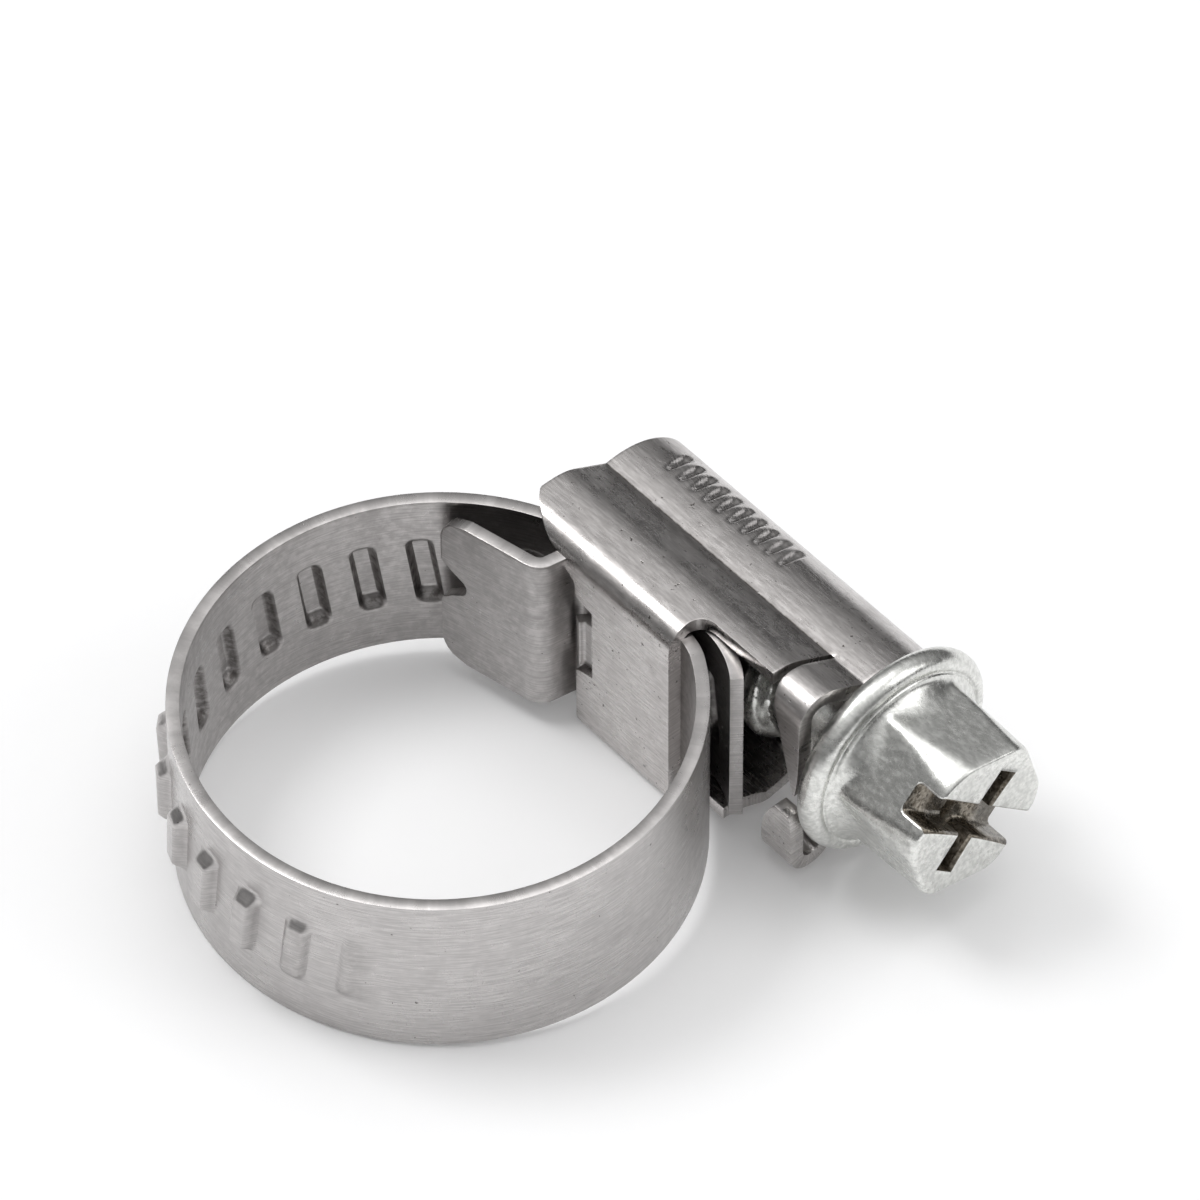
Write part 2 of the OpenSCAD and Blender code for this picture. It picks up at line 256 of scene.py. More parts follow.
@dataclass(frozen=True)
class Wear:
    """The marks that all the finishes share: noises, the levels at which they show, covers and depths."""

    fine: Noise = Noise(130.0, 4.0)
    cloud: Noise = Noise(3.2, 3.0)
    pits: Noise = Noise(38.0, 2.0)
    hairlines: Noise = Noise(9.0, 2.0, (0.35, 30.0, 4.0), 0.5)
    hairlines_at: tuple[float, float] = (0.70, 0.74)
    crossing: Noise = Noise(8.0, 2.0, (24.0, 0.5, 4.0), 0.9)
    crossing_at: tuple[float, float] = (0.73, 0.76)
    grain_at: tuple[float, float] = (0.32, 0.68)
    worn_at: tuple[float, float] = (0.40, 0.64)
    mottle_at: tuple[float, float] = (0.3, 0.7)
    # levels at which mottling breaks up the painted shade of the vertex attribute
    soil_and_shade_at: tuple[float, float] = (0.35, 0.6)
    rough_mottle_at: tuple[float, float] = (0.3, 0.8)
    rough_grain_at: tuple[float, float] = (0.5, 0.8)
    worn_cover: float = 0.55
    # how far the painted shade darkens the colour
    soil_and_shade_cover: float = 0.9
    pit_cover: float = 0.8
    pit_depth: float = 0.008
    pit_rim: float = 0.05
    scratch_depth: float = 0.0016
    grain_rough: float = 0.12
    # roughness added where the shade is painted
    soil_and_shade_rough: float = 0.2
    scratch_rough: float = 0.06


WEAR = Wear()
STAINLESS_BAND = Finish(
    "rolled_stainless", tint=(0.605, 0.585, 0.577), shade=(0.44, 0.425, 0.42), soil_and_shade=(0.06, 0.05, 0.045),
    roughness=0.24, roughness_spread=0.14, grain=Noise(14.0, 5.0, (0.5, 9.0, 9.0)), grain_depth=0.0012,
    pit_from=0.73, orange_peel=0.003, mottle=Noise(24.0, 6.0))
STAINLESS_HOUSING = Finish(
    "pressed_stainless", tint=(0.66, 0.635, 0.625), shade=(0.46, 0.44, 0.43), soil_and_shade=(0.045, 0.035, 0.03),
    roughness=0.22, roughness_spread=0.16, grain=Noise(14.0, 5.0, (0.8, 6.0, 6.0)), grain_depth=0.0014,
    pit_from=0.68, orange_peel=0.005, mottle=Noise(24.0, 6.0))
ZINC = Finish(
    "bright_zinc", tint=(0.87, 0.872, 0.845), shade=(0.62, 0.624, 0.60), soil_and_shade=(0.16, 0.145, 0.12),
    roughness=0.22, roughness_spread=0.16, grain=Noise(14.0, 5.0, (1.6, 3.0, 3.0)), grain_depth=0.0022,
    pit_from=0.76, orange_peel=0.006, mottle=Noise(44.0, 6.0), uv=False)
# dark brown colour on the faces that the slot and cross cutters leave
RECESS = Finish(
    "dark_recess_zinc", tint=(0.34, 0.31, 0.265), shade=(0.10, 0.085, 0.065), soil_and_shade=(0.035, 0.027, 0.02),
    roughness=0.2, roughness_spread=0.22, grain=Noise(14.0, 5.0, (3.0, 3.5, 3.5)), grain_depth=0.004,
    pit_from=0.62, orange_peel=0.01, mottle=Noise(44.0, 6.0), uv=False)


def metal(finish: Finish) -> bpy.types.Material:
    """Builds a worn metal: drawn grain, mottling, hairline scratches, pits, and painted shade from a vertex
    attribute in the pressed places, creases and inner faces.

    Args:
        finish: The colours, roughness and scales.

    Returns:
        The material.
    """
    graph = Graph(bpy.data.materials.new(finish.name))
    place = graph.node("ShaderNodeTexCoord", output="Object")
    solid = graph.node("ShaderNodeVectorMath", {"operation": "SCALE"}, {0: place, "Scale": 1 / (CM * MM)})
    where = graph.node("ShaderNodeUVMap", {"uv_map": "flat"}) if finish.uv else solid
    grain = graph.noise(where, finish.grain)
    fine = graph.noise(solid, WEAR.fine)
    cloud = graph.noise(solid, WEAR.cloud)
    mottle = graph.noise(solid, finish.mottle)
    pits = graph.noise(solid, WEAR.pits).above(finish.pit_from, finish.pit_from + WEAR.pit_rim)
    hairlines = graph.noise(where, WEAR.hairlines).above(*WEAR.hairlines_at)
    crossing = graph.noise(where, WEAR.crossing).above(*WEAR.crossing_at)
    scratch = hairlines + crossing
    # vertex attribute of painted shade, broken up by mottling; it darkens the colour and adds roughness
    soil_and_shade_amount = graph.node("ShaderNodeAttribute", {"attribute_name": "soil_and_shade"}, output="Fac")
    worn = cloud.above(*WEAR.worn_at)
    soil_and_shade_mask = soil_and_shade_amount * (0.5 + 0.5 * mottle.above(*WEAR.soil_and_shade_at))
    base = graph.blend(grain.above(*WEAR.grain_at), finish.shade, finish.tint)
    base = graph.blend(worn * mottle.above(*WEAR.mottle_at) * WEAR.worn_cover, base, finish.shade)
    base = graph.blend(soil_and_shade_mask * WEAR.soil_and_shade_cover, base, finish.soil_and_shade)
    base = graph.blend(pits * WEAR.pit_cover, base, finish.soil_and_shade)
    uneven = 0.5 * worn + 0.5 * mottle.above(*WEAR.rough_mottle_at)
    roughness = finish.roughness + finish.roughness_spread * uneven
    roughness = roughness + WEAR.grain_rough * grain.above(*WEAR.rough_grain_at)
    roughness = roughness + WEAR.soil_and_shade_rough * soil_and_shade_mask + WEAR.scratch_rough * scratch
    height = grain * finish.grain_depth + fine * (finish.grain_depth * 0.5)
    height = height + cloud * (finish.orange_peel * 3) + mottle * finish.orange_peel
    height = height - pits * WEAR.pit_depth - scratch * WEAR.scratch_depth
    normal = graph.node("ShaderNodeBump", inputs={"Height": height, "Strength": 1.0, "Distance": MM})
    looks = {"Base Color": base, "Metallic": 1.0, "Roughness": roughness, "Normal": normal}
    return graph.finish(graph.node("ShaderNodeBsdfPrincipled", inputs=looks))


class Path:
    """A planar path for the middle of a sheet, laid leg by leg from a start point and heading."""

    def __init__(self, start: tuple[float, float], heading: float) -> None:
        """Starts the path.

        Args:
            start: Its first point.
            heading: Its first heading, in degrees from the first axis.
        """
        self.position = Vector(start)
        self.heading = heading
        self.stations: list[Row] = []
        self.length = 0.0
        self._mark()

    def _mark(self) -> None:
        """Adds a station where the path has come to."""
        angle = math.radians(self.heading)
        self.stations.append((self.length, self.position.copy(), Vector((-math.sin(angle), math.cos(angle)))))

    def line(self, length: float, step: float = 0.5) -> "Path":
        """Adds a straight stretch.

        Args:
            length: Its length.
            step: Longest spacing between stations.

        Returns:
            The path itself.
        """
        count = max(1, math.ceil(length / step))
        angle = math.radians(self.heading)
        for _ in range(count):
            self.position += Vector((math.cos(angle), math.sin(angle))) * (length / count)
            self.length += length / count
            self._mark()
        return self

    def arc(self, radius: float, turn: float, step: float = 0.5) -> "Path":
        """Adds an arc.

        Args:
            radius: Radius of the sheet's middle.
            turn: Change of heading in degrees, positive to the left.
            step: Longest spacing between stations.

        Returns:
            The path itself.
        """
        length = radius * math.radians(abs(turn))
        count = max(2, math.ceil(length / step), math.ceil(abs(turn) / WIDEST_BEND))
        side = math.copysign(1, turn)
        angle = math.radians(self.heading)
        centre = self.position + side * radius * Vector((-math.sin(angle), math.cos(angle)))
        for _ in range(count):
            self.heading += turn / count
            angle = math.radians(self.heading)
            self.position = centre - side * radius * Vector((-math.sin(angle), math.cos(angle)))
            self.length += length / count
            self._mark()
        return self

    def between(self, length: float) -> tuple[Vector, Vector]:
        """Reads the path between its stations.

        Args:
            length: Distance from the start.

        Returns:
            The place and the normal.
        """
        passed = bisect.bisect_right(self.stations, length, key=lambda row: row[0])
        index = min(len(self.stations) - 2, max(0, passed - 1))
        start, low, low_normal = self.stations[index]
        end, high, high_normal = self.stations[index + 1]
        part = (length - start) / (end - start)
        return low.lerp(high, part), low_normal.lerp(high_normal, part).normalized()


def ease(value: float, low: float, high: float) -> float:
    """Smooth step from 0 at low to 1 at high.

    Args:
        value: Where to read it.
        low: Foot of the step.
        high: Top of the step.

    Returns:
        A number from 0 to 1.
    """
    part = min(1.0, max(0.0, (value - low) / (high - low)))
    return part * part * (3 - 2 * part)


def fillet(apart: float, reach: float) -> float:
    """Height that rounds the crease where two surfaces cross.

    Args:
        apart: How far one surface is above the other.
        reach: The distance between them at which the rounding starts.

    Returns:
        What to add in a valley, or to take off at a ridge.
    """
    return max(0.0, reach - abs(apart)) ** 2 / (4 * reach)


def spaced(breaks: Sequence[tuple[float, float]]) -> list[float]:
    """Stations between break points.

    Args:
        breaks: Each a position and the longest spacing up to the next one.

    Returns:
        The positions in order.
    """
    marks = [breaks[0][0]]
    for (low, step), (high, _) in zip(breaks, breaks[1:]):
        count = max(1, math.ceil((high - low) / step))
        marks += [low + (high - low) * k / count for k in range(1, count + 1)]
    return marks


class Sheet:
    """A formed sheet: flat grids are bent along paths, welded, thickened and given rolled edges."""

    def __init__(self, thickness: float, inner_painted_shade: float = 0.0) -> None:
        """Starts an empty sheet.

        Args:
            thickness: Its thickness.
            inner_painted_shade: Painted shade all over its inner face, from 0 to 1.
        """
        self.half = thickness / 2
        self.inner_painted_shade = inner_painted_shade
        self.mesh = bmesh.new()
        self.outer = self.mesh.verts.layers.float_vector.new("outer")
        self.inner = self.mesh.verts.layers.float_vector.new("inner")
        self.flat = self.mesh.verts.layers.float_vector.new("flat")
        # darkening per vertex: painted shade on thread flanks, along the crease and on inner faces, and the
        # tongue's all-over darkening
        self.soil_and_shade = self.mesh.verts.layers.float.new("soil_and_shade")

    def patch(self, rows: Sequence[Row], columns: Sequence[float], place: Placer) -> None:
        """Adds a grid whose vertices are placed one by one.

        Args:
            rows: Stations along the path.
            columns: Positions across the path.
            place: Takes a row and a column and places the vertex.
        """
        legs, widths = len(rows) - 1, len(columns) - 1
        made = bmesh.ops.create_grid(self.mesh, x_segments=legs, y_segments=widths, size=GRID_HALF)
        for vert in made["verts"]:
            row = rows[round((vert.co.x + GRID_HALF) * legs)]
            column = columns[round((vert.co.y + GRID_HALF) * widths)]
            middle, outer, inner, flat, soil_and_shade = place(row, column)
            vert.co = middle
            vert[self.outer] = outer
            vert[self.inner] = inner
            vert[self.flat] = flat
            vert[self.soil_and_shade] = soil_and_shade

    def form(self, edge: float) -> bmesh.types.BMesh:
        """Welds the patches, gives them thickness and rolls the edges.

        Args:
            edge: Size of the rolled edge.

        Returns:
            The closed mesh, in millimetres.
        """
        mesh = self.mesh
        bmesh.ops.remove_doubles(mesh, verts=mesh.verts, dist=WELD)
        bmesh.ops.recalc_face_normals(mesh, faces=mesh.faces)
        outer = list(mesh.verts)
        grown = bmesh.ops.extrude_face_region(mesh, geom=list(mesh.faces))
        inner = {item for item in grown["geom"] if isinstance(item, bmesh.types.BMVert)}
        for vert in inner:
            vert.co = vert.co + vert[self.inner]
            # painted shade: the inner face gets more darkening, plus the sheet's all-over inner shade
            vert[self.soil_and_shade] = min(1.0, INSIDE_SHADE_GAIN * vert[self.soil_and_shade] + self.inner_painted_shade)
        for vert in outer:
            vert.co = vert.co + vert[self.outer]
        walls = {face for face in mesh.faces if len({vert in inner for vert in face.verts}) == 2}
        rim = []
        for line in mesh.edges:
            start, end = line.verts
            if (start in inner) == (end in inner) and any(face in walls for face in line.link_faces):
                rim.append(line)
        bmesh.ops.recalc_face_normals(mesh, faces=mesh.faces)
        bmesh.ops.bevel(
            mesh, geom=rim, offset=edge, offset_type="OFFSET", segments=2, profile=0.5, affect="EDGES",
            clamp_overlap=True, material=-1)
        return mesh


def to_piece(
    name: str, mesh: bmesh.types.BMesh, material: bpy.types.Material, sharp: float, flat_layer: str = ""
) -> bpy.types.Object:
    """Turns a mesh in millimetres into an object in metres.

    Args:
        name: Name of the piece.
        mesh: The mesh, which is freed.
        material: Its finish.
        sharp: Angle in degrees above which an edge stays sharp.
        flat_layer: Vertex layer with the sheet's flat place, for its UV map, or none.

    Returns:
        The object.
    """
    bmesh.ops.scale(mesh, vec=(MM, MM, MM), verts=mesh.verts)
    if flat_layer:
        flat = mesh.verts.layers.float_vector[flat_layer]
        uv = mesh.loops.layers.uv.new("flat")
        for face in mesh.faces:
            for loop in face.loops:
                place = loop.vert[flat]
                loop[uv].uv = (place[0] / CM, place[1] / CM)
    for face in mesh.faces:
        face.smooth = True
    for edge in mesh.edges:
        if len(edge.link_faces) == 2:
            edge.smooth = edge.calc_face_angle(0.0) < math.radians(sharp)
    data = bpy.data.meshes.new(name)
    mesh.to_mesh(data)
    mesh.free()
    data.materials.append(material)
    piece = bpy.data.objects.new(name, data)
    bpy.context.scene.collection.objects.link(piece)
    return piece


@dataclass
class Band:
    """The strip of stainless steel: joggled fixed end, round loop and free end with pressed threads."""

    width: float = 9.0
    thickness: float = 0.6
    edge: float = 0.11
    middle_r: float = 11.17
    loop_turn: float = 329.5
    pitch: float = 2.57
    lead_slope: float = 0.124
    press_height: float = 0.57
    press_half: float = 2.12
    press_ends: tuple[float, float] = (0.7, 0.08)  # how far inside and outside press_half a bar's end slopes
    press_corner: tuple[float, float] = (0.25, 0.2)  # slope of its cut corners, and how far off its middle
    press_thinner: float = 0.06
    # painted shade on the flanks of the pressed threads
    press_painted_shade: float = 0.9
    # painted shade all over the inside of the loop
    inner_painted_shade: float = 0.25
    foot: float = 0.66
    top: float = 0.34
    threads: int = 16
    last_threads: int = 2
    fading: int = 3
    thread_rows: int = 24
    shear_in: tuple[float, float] = (3.0, 1.0)  # where, before the threads, the grid takes up their slant
    shear_out: tuple[float, float] = (1.0, 2.6)
    across: tuple[tuple[float, float], ...] = (  # each a position and the grid's spacing up to the next
        (-4.5, 0.3), (-3.2, 0.3), (-2.5, 0.09), (-1.3, 0.2), (1.3, 0.09), (2.5, 0.3), (3.2, 0.3), (4.5, 0.3))
    plate_start: tuple[float, float] = (-7.675, 6.906)
    plate_heading: float = 12.5
    plate_straight: float = 4.58
    joggle_r: float = 0.7
    joggle: Triple = (67.5, 1.045, -80.0)  # turn up from the plate, rise, and turn down to the bridge
    bridge: float = 5.83
    entry: tuple[float, float] = (3.2, -30.5)  # radius and turn, as in the tail's bend
    tail: float = 4.5
    tail_bend: tuple[float, float] = (5.0, -38.0)
    notch_at: float = 0.5
    notch_r: float = 0.62
    notch_depth: float = 1.35
    notch_flare: float = 0.8
    corner_r: float = 1.3
    key: tuple[float, float] = (-1.9, 0.9)
    key_start: tuple[float, float] = (-0.85, 9.62)
    key_thickness: float = 0.5
    key_edge: float = 0.06
    key_legs: tuple[float, float, float, float] = (0.45, 0.4, 62.0, 0.16)  # run, radius, turn and tip
    # darkens the whole tongue
    key_darkening: float = 0.2

    def path(self) -> tuple[Path, float, float]:
        """Lays the band's middle from the plate's end to the tail.

        Returns:
            The path, the length of the plate and the station where the loop ends over the middle.
        """
        path = Path(self.plate_start, self.plate_heading)
        path.line(self.plate_straight, step=0.12)
        plate = path.length
        up, rise, down = self.joggle
        path.arc(self.joggle_r, up).line(rise, step=0.3).arc(self.joggle_r, down)
        path.line(self.bridge, step=0.4).arc(*self.entry, step=0.3)
        threaded = math.degrees(self.threads * self.pitch / self.middle_r)
        fine = self.pitch / self.thread_rows
        path.arc(self.middle_r, threaded - self.loop_turn).arc(self.middle_r, -threaded, step=fine)
        top = path.length
        path.line(self.tail, step=fine).arc(*self.tail_bend, step=fine)
        return path, plate, top

    def press(self, station: float, across: float, top: float) -> float:
        """Height of the pressed threads.

        Args:
            station: Distance along the band.
            across: Distance from the middle of its width.
            top: Station of the thread in the middle of the housing.

        Returns:
            The height as a part of a full thread, from 0 to 1.
        """
        along = station - top + across * self.lead_slope
        count = round(along / self.pitch)
        if not -self.threads <= count <= self.last_threads:
            return 0.0
        strength = min(1.0, (self.threads + 1 + count) / self.fading)
        away = abs(along - count * self.pitch)
        grow = 1 - ease(away, self.top, self.foot)
        inside, outside = self.press_ends
        slope, start = self.press_corner
        reach = abs(across) + slope * max(0.0, away - start)
        return strength * grow * (1 - ease(reach, self.press_half - inside, self.press_half + outside))

    def trim(self, across: float) -> float:
        """How far the plate's end is cut back, by its round corners and by its notch with flared sides.

        Args:
            across: Distance from the middle of the band's width.

        Returns:
            The cut-back length.
        """
        over = abs(across) - (self.width / 2 - self.corner_r)
        corner = self.corner_r - math.sqrt(max(0.0, self.corner_r**2 - over**2)) if over > 0 else 0.0
        away = abs(across - self.notch_at)
        notch = self.notch_depth - self.notch_r
        if away < self.notch_r:
            notch += math.sqrt(self.notch_r**2 - away**2)
        else:
            notch *= (1 - min(1.0, away / self.notch_r - 1)) ** self.notch_flare
        return max(corner, notch)

    def build(self, material: bpy.types.Material) -> bpy.types.Object:
        """Makes the band.

        Args:
            material: Its finish.

        Returns:
            The piece.
        """
        path, plate, top = self.path()
        sheet = Sheet(self.thickness, self.inner_painted_shade)
        first, last = top - self.threads * self.pitch, top + self.last_threads * self.pitch
        start_in, end_in = (first - before for before in self.shear_in)
        start_out, end_out = (last + after for after in self.shear_out)

        def place(row: Row, across: float) -> Placed:
            """Places a vertex: along the slant where the threads are, and cut back at the plate's end.

            Args:
                row: Station of the path.
                across: Position across the band.

            Returns:
                What Sheet.patch needs.
            """
            station, middle, normal = row
            sheared = ease(station, start_in, end_in) * (1 - ease(station, start_out, end_out))
            if sheared > 0:
                station -= across * self.lead_slope * sheared
                middle, normal = path.between(station)
            if station < plate:
                heading = Vector((normal.y, -normal.x))
                middle = middle + heading * self.trim(across) * (1 - station / plate)
            press = self.press(station, across, top)
            out = normal * (sheet.half + self.press_height * press)
            inward = normal * (-sheet.half + (self.press_height - self.press_thinner) * press)
            # painted shade on the threads' flanks, strongest half way up
            soil_and_shade = self.press_painted_shade * press * (1 - press)
            centre = (middle.x, middle.y, across)
            return centre, (out.x, out.y, 0), (inward.x, inward.y, 0), (station, across, 0), soil_and_shade

        sheet.patch(path.stations, spaced(self.across), place)
        return to_piece("band_strip", sheet.form(self.edge), material, SHEET_SHARP, "flat")

    def build_key(self, material: bpy.types.Material) -> bpy.types.Object:
        """Makes the tongue of the fixed end that keys into the strap.

        Args:
            material: Its finish.

        Returns:
            The piece.
        """
        sheet = Sheet(self.key_thickness)
        run, radius, turn, tip = self.key_legs
        path = Path(self.key_start, 180.0).line(run, step=0.2).arc(radius, turn, step=0.1).line(tip, step=0.1)

        def place(row: Row, across: float) -> Placed:
            """Places a vertex of the tongue.

            Args:
                row: Station of the path.
                across: Position across the band.

            Returns:
                What Sheet.patch needs.
            """
            station, middle, normal = row
            out = normal * sheet.half
            centre = (middle.x, middle.y, across)
            return centre, (out.x, out.y, 0), (-out.x, -out.y, 0), (station, across, 0), self.key_darkening

        low, high = self.key
        sheet.patch(path.stations, spaced([(low, 0.3), (high, 0.3)]), place)
        return to_piece("band_tongue", sheet.form(self.key_edge), material, SHEET_SHARP, "flat")


@dataclass(frozen=True)
class Grips:
    """The row of slanted notches pressed into the crown; angles are in degrees from its apex."""

    count: int = 10
    first: float = -3.75
    pitch: float = 0.8
    span: tuple[float, float] = (-4.3, 3.9)
    angle: float = 61.5
    reach: float = 12.5
    slant: tuple[float, float] = (0.012, 62.0)
    depth: float = 0.24
    walls: tuple[float, float] = (0.06, 0.3)

    def dent(self, along: float, angle: float) -> float:
        """Depth of the notches at a place on the crown.

        Args:
            along: Position along the screw.
            angle: Angle from the apex.

        Returns:
            The depth.
        """
        slope, upright = self.slant
        shifted = along - (angle - upright) * slope - self.first
        number = round(shifted / self.pitch)
        if not 0 <= number < self.count:
            return 0.0
        wall = 1 - ease(abs(shifted - number * self.pitch), *self.walls)
        return self.depth * wall * max(0.0, 1 - ((angle - self.angle) / self.reach) ** 2) ** 0.5


@dataclass(frozen=True)
class Dimple:
    """The square dimple pressed into the crown's lower side, near its front; angles as for the grips."""

    along: float = 8.3
    angle: float = -77.0
    depth: float = 0.16
    half_length: tuple[float, float] = (0.42, 0.56)
    half_angle: tuple[float, float] = (6.4, 8.4)

    def dent(self, along: float, angle: float) -> float:
        """Depth of the dimple at a place on the crown.

        Args:
            along: Position along the screw.
            angle: Angle from the apex.

        Returns:
            The depth.
        """
        inside = 1 - ease(abs(along - self.along), *self.half_length)
        return self.depth * inside * (1 - ease(abs(angle - self.angle), *self.half_angle))


@dataclass(frozen=True)
class Lip:
    """One end of the collar: its heading off the crown's crease, then straights and bends, tapered."""

    heading: float
    straights: tuple[float, float]
    bends: tuple[tuple[float, float], tuple[float, float]]
    last: tuple[float, float]
    taper: float
    rear: tuple[float, float]
    front: tuple[float, float]

    def lay(self, path: Path, crease_r: float) -> None:
        """Lays the lip's middle on from the crown.

        Args:
            path: The path so far.
            crease_r: Radius of the crease.
        """
        (first, second), (first_bend, second_bend), (last, step) = self.straights, self.bends, self.last
        path.arc(crease_r, self.heading - path.heading, step=0.1)
        path.line(first, step=0.25).arc(*first_bend, step=0.2)
        path.line(second, step=0.1).arc(*second_bend, step=0.12)
        path.line(last, step)

    def trim(self, left: float) -> tuple[float, float]:
        """How far the rear and the front edge come in.

        Args:
            left: Distance along the lip to its tip.

        Returns:
            The two distances.
        """
        share = max(0.0, 1 - left / self.taper)
        (rear, rear_curve), (front, front_curve) = self.rear, self.front
        return rear * share**rear_curve, front * share**front_curve


UPPER_LIP = Lip(
    heading=151.0, straights=(1.75, 0.12), bends=((1.2, 20.0), (0.9, 99.0)), last=(4.6, 0.2),
    taper=5.48719, rear=(1.5, 0.85), front=(0.25, 4.0))
LOWER_LIP = Lip(
    heading=-135.0, straights=(1.86, 0.05), bends=((1.0, -42.0), (0.75, -93.0)), last=(2.7, 0.3),
    taper=2.2, rear=(0.8, 2.0), front=(0.2, 3.0))


@dataclass
class Housing:
    """The one-piece housing: crown, flanks, strap with its tab, and collar."""

    thickness: float = 0.7
    edge: float = 0.075
    axis_y: float = 15.0
    crown_mid: float = 3.75
    fold: float = 103.0
    fold_low: float = 112.0
    crease_r: float = 0.5
    # painted shade along the crease between crown and upper flank, and how far it reaches
    crease_painted_shade: float = 0.9
    crease_painted_shade_reach: tuple[float, float] = (0.05, 0.3)
    lap_y: float = 12.0
    lap_r: float = 0.5
    tab_angle: float = 92.0
    flank_z: float = 4.97
    tab_z: float = 5.69
    tab_from: float = -4.52  # the tab's side of the strap
    tab_corners: Triple = (14.1, 14.9, 0.55)  # where its sides draw in, and by how much
    strap_mid: float = 9.4
    corner: float = 0.85
    lap_corner: float = 0.5
    foot: float = 10.25
    lower_foot: float = 10.0
    cut_above: float = 0.35  # the rear edge runs in from here above the corner to cut_below past it
    cut_below: float = 0.6
    cut_over: float = 0.35
    shoulder_y: float = 11.8
    shoulder_r: float = 2.5
    back: float = -5.5
    front: float = 8.85
    collar: float = 9.1
    end: float = 11.0
    strap: tuple[float, float] = (-1.6, 4.4)
    arch: tuple[float, float] = (11.0, 0.8)
    arch_over: float = 0.15
    slit: Triple = (8.4, 13.2, 0.47)  # its front, the height of its round end's middle, and the radius
    sweep: Triple = (1.03, -0.6, 2.9)  # how far the front edge below the slit sweeps back, and where
    notch: tuple[float, float] = (-1.95, 2.45)
    notch_wall: tuple[float, float] = (0.16, 0.02)
    notch_depth: float = 1.05
    grips: Grips = Grips()
    dimple: Dimple = Dimple()

    def _lean(self, fold: float, shoulder: float) -> float:
        """Measures the lean of a flank's slanted leg.

        Args:
            fold: Angle from the crown's apex down to the fold.
            shoulder: Distance of the shoulder from the middle of the loop.

        Returns:
            The lean in degrees.
        """
        angle = math.radians(fold)
        rise = self.axis_y + self.crown_mid * math.cos(angle) - shoulder
        return math.degrees(math.atan2(self.flank_z - self.crown_mid * math.sin(angle), rise))

    def _crease(self, shoulder: tuple[float, float], lean: float, radius: float) -> tuple[float, float]:
        """Rounds the crease between a slanted leg and the crown.

        Args:
            shoulder: The leg's lower corner, on the positive side.
            lean: The leg's lean.
            radius: Radius of the circle that the crown, or the tab on it, follows.

        Returns:
            Angle from the apex at which the crease leaves the circle, and the leg's length.
        """
        turn = math.radians(lean)
        along, out = Vector((math.cos(turn), -math.sin(turn))), Vector((math.sin(turn), math.cos(turn)))
        start = Vector((shoulder[0] - self.axis_y, shoulder[1])) + out * self.crease_r
        ahead = start.dot(along)
        reach = -ahead - math.sqrt(ahead**2 - start.length_squared + (radius + self.crease_r) ** 2)
        centre = start + along * reach
        return math.degrees(math.atan2(centre.y, centre.x)), reach

    def _crown(self, path: Path) -> None:
        """Adds the crown's arc, from one crease to the other.

        Args:
            path: The path so far.
        """
        turn = 0.0
        for fold, shoulder in ((self.fold, self.shoulder_y), (self.fold_low, self.lap_y)):
            turn += self._crease((shoulder, self.flank_z), self._lean(fold, shoulder), self.crown_mid)[0]
        path.arc(self.crown_mid, -turn, step=0.2)

    def _tab(self) -> Path:
        """Lays the tab from its free end on the crown, over its crease, down to the strap's lower corner.

        Returns:
            The path so far.
        """
        lean = self._lean(self.fold_low, self.lap_y)
        off = self.tab_z - self.flank_z
        lay_r = self.crown_mid + off
        shoulder = self.lap_y + off * math.tan(math.radians(lean / 2))
        angle, leg = self._crease((shoulder, self.tab_z), lean, lay_r)
        round_in = (self.lap_r + off) * math.tan(math.radians(lean / 2))
        end = math.radians(self.tab_angle)
        start = (self.axis_y + lay_r * math.cos(end), -lay_r * math.sin(end))
        path = Path(start, 270 - self.tab_angle)
        path.arc(lay_r, self.tab_angle - angle, step=0.15).arc(self.crease_r, lean + angle - 90, step=0.08)
        path.line(leg - round_in, step=0.2).arc(self.lap_r + off, -lean, step=0.12)
        return path.line(shoulder - round_in - self.strap_mid - self.lap_corner, step=0.25)

    def path(self) -> tuple[Path, int, int, int]:
        """Lays the sheet's middle: tab, strap, upper flank, crown and lower flank.

        Returns:
            The path in the plane across the screw, and its rows at the flank's foot and the crown's ends.
        """
        path = self._tab().arc(self.lap_corner, -90, step=0.1)
        path.line(self.flank_z + self.tab_z - self.lap_corner - self.corner, step=0.16)
        path.arc(self.corner, -90, step=0.16)
        foot = len(path.stations) - 1
        lean = self._lean(self.fold, self.shoulder_y)
        angle, leg = self._crease((self.shoulder_y, self.flank_z), lean, self.crown_mid)
        round_in = self.shoulder_r * math.tan(math.radians(lean / 2))
        path.line(self.shoulder_y - self.foot - round_in, step=0.16).arc(self.shoulder_r, -lean, step=0.2)
        path.line(leg - round_in, step=0.25).arc(self.crease_r, lean + angle - 90, step=0.06)
        first = len(path.stations) - 1
        self._crown(path)
        last = len(path.stations) - 1
        lean = self._lean(self.fold_low, self.lap_y)
        angle, leg = self._crease((self.lap_y, self.flank_z), lean, self.crown_mid)
        round_in = self.lap_r * math.tan(math.radians(lean / 2))
        path.arc(self.crease_r, lean + angle - 90, step=0.06).line(leg - round_in, step=0.25)
        path.arc(self.lap_r, -lean, step=0.15).line(self.lap_y - self.lower_foot - round_in, step=0.2)
        return path, foot, first, last

